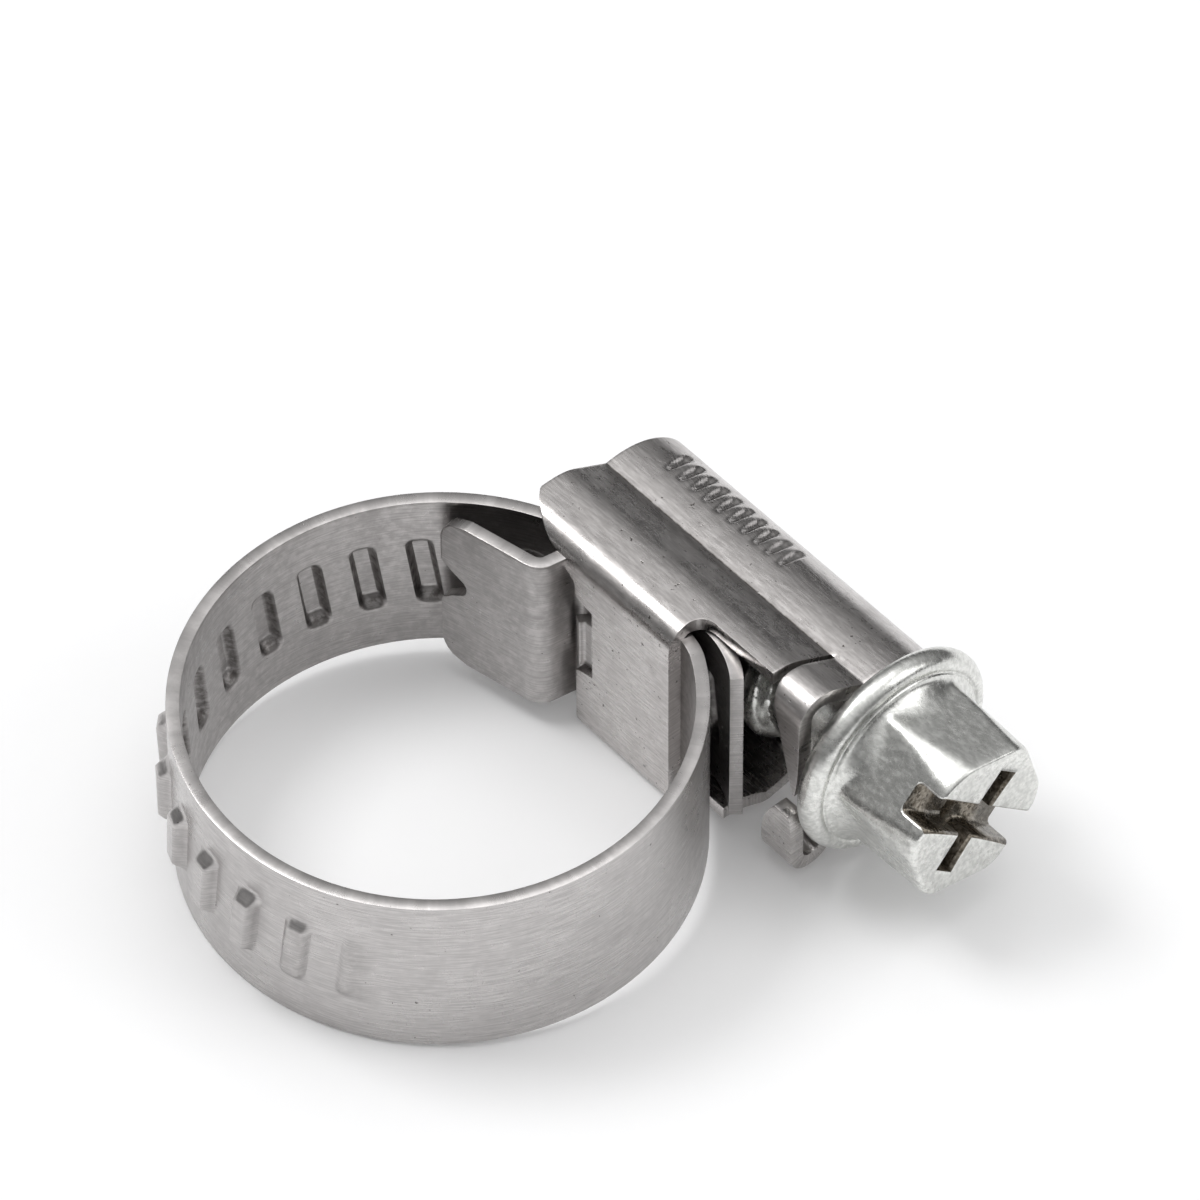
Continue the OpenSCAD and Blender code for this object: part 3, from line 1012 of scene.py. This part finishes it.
    def collar_rows(self, crown_start: Row) -> list[Row]:
        """Lays the collar's middle, from the upper lip over the crown to the lower lip.

        Args:
            crown_start: The main path's station where the crown begins.

        Returns:
            The rows, with distances along the collar that are below 0 on the upper lip.
        """
        _, start, normal = crown_start
        heading = math.degrees(math.atan2(-normal.x, normal.y))
        upper = Path(tuple(start), heading + 180)
        UPPER_LIP.lay(upper, self.crease_r)
        lower = Path(tuple(start), heading)
        self._crown(lower)
        LOWER_LIP.lay(lower, self.crease_r)
        turned = [(-station, place, -across) for station, place, across in reversed(upper.stations)]
        return turned[:-1] + lower.stations

    def place(self, row: Row, along: float, dent: float = 0.0, soil_and_shade: float = 0.0) -> Placed:
        """Places a vertex of the sheet.

        Args:
            row: Station of the path.
            along: Position along the screw.
            dent: Depth pressed into the outer face.
            soil_and_shade: Amount of darkening, painted shade.

        Returns:
            What Sheet.patch needs.
        """
        station, middle, normal = row
        half = self.thickness / 2
        out = normal * (half - dent)
        inward = normal * -half
        centre = (along, middle.x, middle.y)
        return centre, (0, out.x, out.y), (0, inward.x, inward.y), (along, station, 0), soil_and_shade

    def arch_edge(self, ahead: float) -> float:
        """Height of the flank's free edge in front of the strap.

        Args:
            ahead: Distance in front of the strap.

        Returns:
            The edge's distance from the middle of the loop.
        """
        top, radius = self.arch
        away = max(0.0, radius - ahead)
        return top - radius + math.sqrt(max(0.0, radius**2 - away**2))

    def rear_edge(self, drop: float) -> float:
        """Position of the sheet's rear edge where the flank turns down into the strap.

        Args:
            drop: Distance along the sheet below the start of the cut-back.

        Returns:
            The edge's position along the screw.
        """
        length = self.cut_above + self.corner * math.pi / 2 + self.cut_below
        return self.back + (self.strap[0] - self.cut_over - self.back) * ease(drop, 0.0, length)

    def front_edge(self, middle: Vector) -> float:
        """Position of the sheet's front edge, which goes round the slit between lower flank and collar.

        Args:
            middle: The place across the screw.

        Returns:
            The edge's position along the screw.
        """
        slit, height, radius = self.slit
        above = middle.x - height
        if middle.y >= 0 or above >= radius:
            return self.front
        if above > 0:
            return slit - math.sqrt(max(0.0, radius**2 - above**2))
        swept, start, end = self.sweep
        return slit - radius - swept * ease(-above, start, end)

    def dent(self, along: float, middle: Vector) -> float:
        """Depth of the grip notches and the dimple.

        Args:
            along: Position along the screw.
            middle: The place across the screw.

        Returns:
            The depth.
        """
        angle = math.degrees(math.atan2(middle.y, middle.x - self.axis_y))
        return max(self.grips.dent(along, angle), self.dimple.dent(along, angle))

    def build(self, material: bpy.types.Material) -> bpy.types.Object:
        """Makes the housing.

        Args:
            material: Its finish.

        Returns:
            The piece.
        """
        sheet = Sheet(self.thickness)
        path, foot, first, last = self.path()
        rows = path.stations
        turn_x = self.strap[1]
        grip_start, grip_end = self.grips.span
        ahead = [(turn_x, 0.06), (turn_x + self.arch[1], 0.12), (self.front, 0.1)]
        columns = spaced([(self.back, 0.12), (grip_start, 0.06), (grip_end, 0.1), *ahead])
        strap_columns = [x for x in columns if x <= turn_x + WELD]
        shoulder = self.arch[0] + self.arch_over
        angle = math.radians(self.fold)
        crease = Vector((self.axis_y + self.crown_mid * math.cos(angle), self.crown_mid * math.sin(angle)))

        def wrap(row: Row, along: float) -> Placed:
            """Places a vertex of the flanks and the crown.

            Args:
                row: Station of the path.
                along: Position along the screw.

            Returns:
                What Sheet.patch needs.
            """
            station, middle, normal = row
            if along > turn_x:
                limit = self.front_edge(middle)
                along = turn_x + (along - turn_x) * (limit - turn_x) / (self.front - turn_x)
                if middle.y > 0 and middle.x < shoulder:
                    edge = self.arch_edge(along - turn_x)
                    height = shoulder - (shoulder - middle.x) * (shoulder - edge) / (shoulder - self.foot)
                    row = (station, Vector((height, middle.y)), normal)
            elif middle.y > 0:
                rear = self.rear_edge(self.cut_above + rows[foot][0] - station)
                along = rear + (along - self.back) * (turn_x - rear) / (turn_x - self.back)
            # painted shade along the upper fold's crease
            soil_and_shade = self.crease_painted_shade * (1 - ease((middle - crease).length, *self.crease_painted_shade_reach))
            return self.place(row, along, self.dent(along, middle), soil_and_shade)

        def strap(row: Row, along: float) -> Placed:
            """Places a vertex of the strap and its tab.

            Args:
                row: Station of the path.
                along: Position along the screw.

            Returns:
                What Sheet.patch needs.
            """
            station, middle, _ = row
            rear, front = self.strap
            if middle.y < self.tab_from or (middle.y < 0 and middle.x > self.foot):
                start, end, cut_off = self.tab_corners
                rounded = cut_off * ease(middle.x, start, end) ** 2
                rear, front = rear + rounded, front - rounded
            else:
                rear = self.rear_edge(self.cut_above + rows[foot][0] - station)
                rear += self.cut_over * ease(self.flank_z - self.corner - middle.y, 0.0, 1.0)
                (low, high), (outside, inside) = self.notch, self.notch_wall
                rising = ease(middle.y, low - outside, low + inside)
                rear += self.notch_depth * rising * (1 - ease(middle.y, high - inside, high + outside))
            part = (along - self.back) / (turn_x - self.back)
            return self.place(row, rear + (front - rear) * part)

        sheet.patch(rows[foot:], columns, wrap)
        sheet.patch(rows[: foot + 1], strap_columns, strap)
        joint = spaced([(self.front, 0.13), (self.collar, 0.13)])
        sheet.patch(rows[first : last + 1], joint, self.place)
        collar = self.collar_rows(rows[first])
        upper_tip, lower_tip = collar[0][0], collar[-1][0]

        def wrap_collar(row: Row, along: float) -> Placed:
            """Places a vertex of the collar.

            Args:
                row: Station of the path.
                along: Position along the screw.

            Returns:
                What Sheet.patch needs.
            """
            upper = row[0] < 0
            rear, front = UPPER_LIP.trim(row[0] - upper_tip) if upper else LOWER_LIP.trim(lower_tip - row[0])
            part = (along - self.collar) / (self.end - self.collar)
            return self.place(row, self.collar + rear + (self.end - self.collar - rear - front) * part)

        sheet.patch(collar, spaced([(self.collar, 0.19), (self.end, 0.19)]), wrap_collar)
        return to_piece("housing_sheet", sheet.form(self.edge), material, SHEET_SHARP, "flat")


@dataclass(frozen=True)
class Recess:
    """A cut in the screw's end face, along Y or along Z as the hexagon is turned."""

    name: str
    half: float
    length: float
    depth: float
    along_y: bool
    floor: tuple[tuple[float, float], ...] = ((0.0, -0.22), (0.06, -0.09), (0.2, 0.0))
    mouth: tuple[tuple[float, float], ...] = ((-0.26, 0.0), (-0.16, 0.03), (-0.08, 0.09), (0.6, 0.7))

    def outline(self, top: float) -> list[tuple[float, float]]:
        """Lays the cut's section, with a round floor and a flared mouth.

        Args:
            top: Position of the end face.

        Returns:
            Positions along the screw and half widths.
        """
        side = [(top - self.depth + rise, self.half + wider) for rise, wider in self.floor]
        side += [(top + rise, self.half + wider) for rise, wider in self.mouth]
        return side + [(along, -half) for along, half in reversed(side)]


@dataclass
class WormScrew:
    """The screw: worm, neck, flange and hexagon with a slot and a cross recess."""

    axis_y: float = 15.0
    pitch: float = 2.57
    worm: tuple[float, float] = (-4.8, 7.55)
    worm_fade: tuple[float, float] = (0.1, 1.2)  # where its thread starts and is full, from either end
    root_r: float = 2.55
    crest_r: float = 3.3
    crest: float = 0.34
    foot: float = 0.68
    rear_end: tuple[tuple[float, float], ...] = (  # each how far in front of the worm's end, and a radius
        (0.0, 0.02), (0.0, 1.2), (0.0, 2.3), (0.06, 2.47))
    neck: tuple[tuple[float, float], ...] = (  # each a position and a radius
        (7.85, 2.5), (8.6, 2.5), (8.75, 2.6), (8.8, 3.25), (8.9, 3.33), (10.0, 3.33), (11.28, 3.33))
    flange_back: float = 11.3
    flange_t: float = 1.25
    flange_r: float = 5.13
    around: int = 180
    rim_steps: int = 14
    back_steps: int = 3
    groove: tuple[tuple[float, float], ...] = (  # each a depth in the face and how far inside the rim
        (-0.02, 0.05), (-0.045, 0.09), (-0.05, 0.13), (-0.03, 0.17), (0.0, 0.2))
    cone_r: tuple[float, float] = (4.28, 3.4)
    cone_curve: tuple[float, float] = (0.7, 1.2)
    cone_length: tuple[float, float] = (0.04, 1.25)
    cone_steps: int = 18
    cone_fillet: float = 0.16
    hex_front: float = 17.33
    hex_half: float = 3.5
    hex_turn: float = 46.0
    hex_straight: tuple[float, float] = (14.1, 16.9)
    corner_r: float = 3.97
    corner_fillet: float = 0.09
    wear_span: tuple[float, float] = (13.4, 17.6)
    wear_depth: float = 0.27
    corner_wear: tuple[float, ...] = (0.6, 1.0, 0.85, 0.45, 0.55, 0.9)
    end_round: tuple[tuple[float, float], ...] = (  # each a position and how far the hexagon draws in
        (17.06, 0.006), (17.14, 0.018), (17.21, 0.042), (17.27, 0.078), (17.31, 0.12), (17.33, 0.18))
    dish_radii: tuple[float, ...] = (2.9, 2.2, 1.3, 0.6, 0.02)
    dish_depth: float = 0.1
    recesses: tuple[Recess, ...] = (
        Recess("slot", half=0.75, length=10.0, depth=1.5, along_y=True),
        Recess("cross", half=0.475, length=5.2, depth=2.2, along_y=False))

    def worm_radius(self, along: float, angle: float) -> float:
        """Radius of the worm.

        Args:
            along: Position along the screw.
            angle: Angle from +Y toward +Z, in degrees.

        Returns:
            The radius.
        """
        phase = (along - self.pitch * (angle - 180) / 360) / self.pitch - 0.5
        away = abs(phase - round(phase)) * self.pitch
        low, high = self.worm
        start, full = self.worm_fade
        fade = ease(along, low + start, low + full) * (1 - ease(along, high - full, high))
        return self.root_r + (self.crest_r - self.root_r) * (1 - ease(away, self.crest, self.foot)) * fade

    def hex_radius(self, angle: float, along: float = 0.0) -> float:
        """Distance from the axis to the hexagon, whose corners are rubbed broader towards the end face.

        Args:
            angle: Angle from +Y toward +Z, in degrees.
            along: Position along the screw.

        Returns:
            The radius.
        """
        local = (angle - self.hex_turn) % 60 - 30
        flat = self.hex_half / math.cos(math.radians(local))
        corner = round((angle - self.hex_turn) / 60) % 6
        limit = self.corner_r - self.wear_depth * self.corner_wear[corner] * ease(along, *self.wear_span)
        return min(flat, limit) - fillet(flat - limit, self.corner_fillet)

    def _flange(self) -> list[tuple[float, float]]:
        """Lays the flange's back, its round rim and the groove round its face.

        Returns:
            Positions along the screw and radii.
        """
        rim = self.flange_t / 2
        middle, bearing_r = self.flange_r - rim, self.neck[-1][1]
        face = self.flange_back + self.flange_t
        points = []
        for k in range(1, self.back_steps + 1):
            points.append((self.flange_back, bearing_r + (middle - bearing_r) * k / self.back_steps))
        for k in range(1, self.rim_steps + 1):
            angle = math.pi * k / self.rim_steps
            points.append((self.flange_back + rim - rim * math.cos(angle), middle + rim * math.sin(angle)))
        return points + [(face + along, middle - inside) for along, inside in self.groove]

    def _cone(self) -> list[Section]:
        """Lays the cone that leads from the flange's face up to the hexagon's flats.

        Returns:
            The sections.
        """
        face = self.flange_back + self.flange_t
        (wide, narrow), (narrowing, spread), (start, length) = self.cone_r, self.cone_curve, self.cone_length
        sections: list[Section] = []
        for k in range(self.cone_steps + 1):
            part = k / self.cone_steps
            least = wide + (narrow - wide) * part**narrowing

            def radius_at(angle: float, cone: float = least) -> float:
                """Radius of the cone or of the hexagon, whichever is larger."""
                outline = self.hex_radius(angle)
                return max(outline, cone) + fillet(outline - cone, self.cone_fillet)

            sections.append((face + start + length * part**spread, radius_at))
        return sections

    def profile(self) -> list[Section]:
        """Lists the sections of the screw, from the rear end to the hexagon's end face.

        Returns:
            Each section's position and its radius by angle.
        """
        low, high = self.worm
        sections: list[Section] = []

        def add(points: Iterable[tuple[float, float]]) -> None:
            """Adds round sections at positions and radii."""
            sections.extend((along, lambda angle, r=radius: r) for along, radius in points)

        add((low + along, radius) for along, radius in self.rear_end)
        for along in spaced([(low + 0.15, 0.09), (high, 0.09)]):
            sections.append((along, lambda angle, x=along: self.worm_radius(x, angle)))
        add(self.neck)
        add(self._flange())
        sections += self._cone()
        start, end = self.hex_straight
        for along, less in [(x, 0.0) for x in spaced([(start, 0.3), (end, 0.3)])] + list(self.end_round):
            sections.append((along, lambda angle, x=along, cut_off=less: self.hex_radius(angle, x) - cut_off))
        add((self.hex_front - self.dish_depth * (1 - (r / self.hex_half) ** 2), r) for r in self.dish_radii)
        return sections

    def build(self, material: bpy.types.Material, inside: bpy.types.Material) -> bpy.types.Object:
        """Makes the screw.

        Args:
            material: Its finish.
            inside: Finish of the recess.

        Returns:
            The piece.
        """
        mesh = bmesh.new()
        sections = self.profile()
        legs = len(sections) - 1
        made = bmesh.ops.create_grid(mesh, x_segments=legs, y_segments=self.around, size=GRID_HALF)
        for vert in made["verts"]:
            along, radius_at = sections[round((vert.co.x + GRID_HALF) * legs)]
            angle = self.hex_turn + 360 * round((vert.co.y + GRID_HALF) * self.around) / self.around
            radius = radius_at(angle)
            turn = math.radians(angle)
            vert.co = (along, self.axis_y + radius * math.cos(turn), radius * math.sin(turn))
        bmesh.ops.remove_doubles(mesh, verts=mesh.verts, dist=WELD)
        bmesh.ops.holes_fill(mesh, edges=[edge for edge in mesh.edges if edge.is_boundary])
        bmesh.ops.recalc_face_normals(mesh, faces=mesh.faces)
        piece = to_piece("worm_screw", mesh, material, TURNED_SHARP)
        for recess in self.recesses:
            cut(piece, self._cutter(recess, inside))
        return piece

    def _cutter(self, recess: Recess, material: bpy.types.Material) -> bpy.types.Object:
        """Makes the tool for the slot or the cross recess.

        Args:
            recess: Its sizes.
            material: Finish of the cut faces.

        Returns:
            The tool.
        """
        cutter = bmesh.new()
        side = -recess.length / 2
        outline = recess.outline(self.hex_front)
        verts = [cutter.verts.new((x, side, w) if recess.along_y else (x, w, side)) for x, w in outline]
        grown = bmesh.ops.extrude_face_region(cutter, geom=[cutter.faces.new(verts)])
        moved = [item for item in grown["geom"] if isinstance(item, bmesh.types.BMVert)]
        reach = (0, recess.length, 0) if recess.along_y else (0, 0, recess.length)
        bmesh.ops.translate(cutter, vec=reach, verts=moved)
        bmesh.ops.recalc_face_normals(cutter, faces=cutter.faces)
        turn = Matrix.Rotation(math.radians(self.hex_turn + 90), 4, "X")
        place = Matrix.Translation((0, self.axis_y, 0)) @ turn
        bmesh.ops.transform(cutter, matrix=place, verts=cutter.verts)
        return to_piece(f"{recess.name}_cutter", cutter, material, SHEET_SHARP)


def cut(piece: bpy.types.Object, tool: bpy.types.Object) -> None:
    """Subtracts a tool from a piece and deletes the tool.

    Args:
        piece: What is cut.
        tool: What cuts it.
    """
    modifier = piece.modifiers.new("cut", "BOOLEAN")
    modifier.operation = "DIFFERENCE"
    modifier.solver = "EXACT"
    modifier.material_mode = "TRANSFER"
    modifier.object = tool
    graph = bpy.context.evaluated_depsgraph_get()
    graph.update()
    done = bpy.data.meshes.new_from_object(piece.evaluated_get(graph))
    piece.modifiers.clear()
    piece.data = done
    bpy.data.objects.remove(tool)


@dataclass(frozen=True)
class View:
    """Where the camera stands, solved from the clip's rims and screw; lengths in millimetres."""

    azimuth: float = 49.1
    elevation: float = 49.604
    roll: float = -0.374
    distance: float = 428.03
    aim: tuple[float, float] = (6.7991, 7.0249)
    focal_px: float = 10089.0
    image_px: float = 1200.0
    sensor: float = 36.0
    clip: tuple[float, float] = (0.01, 20.0)

    def axes(self) -> tuple[Vector, Vector, Vector]:
        """Works out the camera's axes.

        Returns:
            Right, up and back.
        """
        turn, lift, roll = (math.radians(angle) for angle in (self.azimuth, self.elevation, self.roll))
        back = Vector((math.sin(turn) * math.cos(lift), -math.cos(turn) * math.cos(lift), math.sin(lift)))
        level = Vector((math.cos(turn), math.sin(turn), 0.0))
        rise = back.cross(level)
        right = level * math.cos(roll) + rise * math.sin(roll)
        return right, rise * math.cos(roll) - level * math.sin(roll), back

    def make(self) -> bpy.types.Object:
        """Makes the camera and gives it to the scene.

        Returns:
            The camera.
        """
        right, up, back = self.axes()
        data = bpy.data.cameras.new("camera")
        data.sensor_width = self.sensor
        data.lens = self.focal_px * self.sensor / self.image_px
        data.clip_start, data.clip_end = self.clip
        camera = bpy.data.objects.new("camera", data)
        place = (right * self.aim[0] + up * self.aim[1] + back * self.distance) * MM
        camera.matrix_world = Matrix.Translation(place) @ Matrix((right, up, back)).transposed().to_4x4()
        bpy.context.scene.collection.objects.link(camera)
        bpy.context.scene.camera = camera
        return camera


@dataclass(frozen=True)
class Lamp:
    """A soft box: where it stands as seen from the camera, in millimetres, and how bright it is."""

    name: str
    side: float
    rise: float
    toward: float
    size: tuple[float, float]
    power: float


@dataclass
class Studio:
    """Floor, world and lamps."""

    view: View = field(default_factory=View)
    floor_half: float = 900.0
    floor_place: Triple = (0.0, -11.4, -4.52)
    floor_tilt: float = 3.8
    floor_glow: float = 0.1
    floor_grain: Noise = Noise(900.0, 3.0)
    floor_colours: tuple[Triple, Triple] = ((0.975, 0.975, 0.98), (0.985, 0.985, 0.99))
    room: tuple[tuple[float, float], ...] = ((0.02, 0.03), (0.45, 0.30), (0.95, 0.90))
    lit: Triple = (3.0, 2.0, 0.0)
    lamps: tuple[Lamp, ...] = (
        Lamp("key_box", side=-140.0, rise=330.0, toward=-90.0, size=(120.0, 110.0), power=0.32),
        Lamp("top_box", side=40.0, rise=330.0, toward=-60.0, size=(200.0, 200.0), power=0.13),
        Lamp("side_box", side=240.0, rise=110.0, toward=60.0, size=(140.0, 200.0), power=0.14),
    )

    def floor(self) -> bpy.types.Object:
        """Makes the floor that the clip rests on; it glows a little to the camera and in the metal.

        Returns:
            The floor.
        """
        mesh = bmesh.new()
        bmesh.ops.create_grid(mesh, x_segments=1, y_segments=1, size=self.floor_half)
        tilt = Matrix.Rotation(math.radians(-self.floor_tilt), 4, "X")
        bmesh.ops.transform(mesh, matrix=Matrix.Translation(self.floor_place) @ tilt, verts=mesh.verts)
        graph = Graph(bpy.data.materials.new("studio_floor"))
        grain = graph.noise(graph.node("ShaderNodeTexCoord", output="Object"), self.floor_grain)
        colour = graph.blend(grain, *self.floor_colours)
        card = graph.node("ShaderNodeBsdfDiffuse", inputs={"Color": colour, "Roughness": 0.0})
        seen = graph.node("ShaderNodeLightPath", output="Is Camera Ray")
        mirrored = graph.node("ShaderNodeLightPath", output="Is Glossy Ray")
        glow = graph.node("ShaderNodeEmission", inputs={"Color": WHITE, "Strength": 1.0})
        share = (seen + mirrored) * self.floor_glow
        surface = graph.node("ShaderNodeMixShader", inputs={0: share, 1: card, 2: glow})
        floor = to_piece("studio_floor", mesh, graph.finish(surface), TURNED_SHARP)
        return floor

    def world(self) -> None:
        """Lights the room: dim near the horizon, brighter overhead; the camera sees it white."""
        world = bpy.data.worlds.new("studio")
        bpy.context.scene.world = world
        graph = Graph(world)
        place = graph.node("ShaderNodeTexCoord", output="Generated")
        height = graph.node("ShaderNodeSeparateXYZ", inputs={"Vector": place}, output="Z")
        shade = graph.node("ShaderNodeValToRGB", {"stops": self.room}, {"Fac": height})
        room = graph.node("ShaderNodeBackground", inputs={"Color": shade})
        white = graph.node("ShaderNodeBackground", inputs={"Color": WHITE})
        seen = graph.node("ShaderNodeLightPath", output="Is Camera Ray")
        mixed = graph.node("ShaderNodeMixShader", inputs={0: seen, 1: room, 2: white})
        graph.node("ShaderNodeOutputWorld", inputs={"Surface": mixed})

    def light(self) -> None:
        """Hangs the soft boxes, each turned to the clip."""
        right, _, back = self.view.axes()
        target = Vector(self.lit)
        for lamp in self.lamps:
            data = bpy.data.lights.new(lamp.name, "AREA")
            data.shape = "RECTANGLE"
            data.size, data.size_y = (side * MM for side in lamp.size)
            data.energy = lamp.power
            away = right * lamp.side + Vector((0, 0, lamp.rise)) + back * lamp.toward
            box = bpy.data.objects.new(lamp.name, data)
            turned = away.to_track_quat("Z", "Y").to_matrix().to_4x4()
            box.matrix_world = Matrix.Translation((target + away) * MM) @ turned
            bpy.context.scene.collection.objects.link(box)

    def build(self) -> None:
        """Sets up camera, floor, world and lamps."""
        self.view.make()
        self.floor()
        self.world()
        self.light()


def show(piece: bpy.types.Object, body: Body, replaced: Iterable[str]) -> None:
    """Gives a piece its body and hides the frame's nodes that it stands for.

    Args:
        piece: The piece.
        body: The body that carries it.
        replaced: Names of the nodes.
    """
    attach(piece, body.value)
    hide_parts(*replaced)
    log.info("%s rides on %s, %d faces", piece.name, body.value, len(piece.data.polygons))


def main() -> None:
    """Builds the clip and its studio."""
    logging.basicConfig(level=logging.INFO, format="%(name)s: %(message)s")
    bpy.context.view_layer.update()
    bpy.context.scene.view_settings.view_transform = "Standard"
    band_metal, housing_metal, zinc = metal(STAINLESS_BAND), metal(STAINLESS_HOUSING), metal(ZINC)
    band = Band()
    show(band.build(band_metal), Body.CLIP, ["band"])
    show(band.build_key(band_metal), Body.CLIP, ["band"])
    show(Housing().build(housing_metal), Body.CLIP, ["housing"])
    show(WormScrew().build(zinc, metal(RECESS)), Body.SCREW, ["screw"])
    Studio().build()


if __name__ == "__main__":
    main()
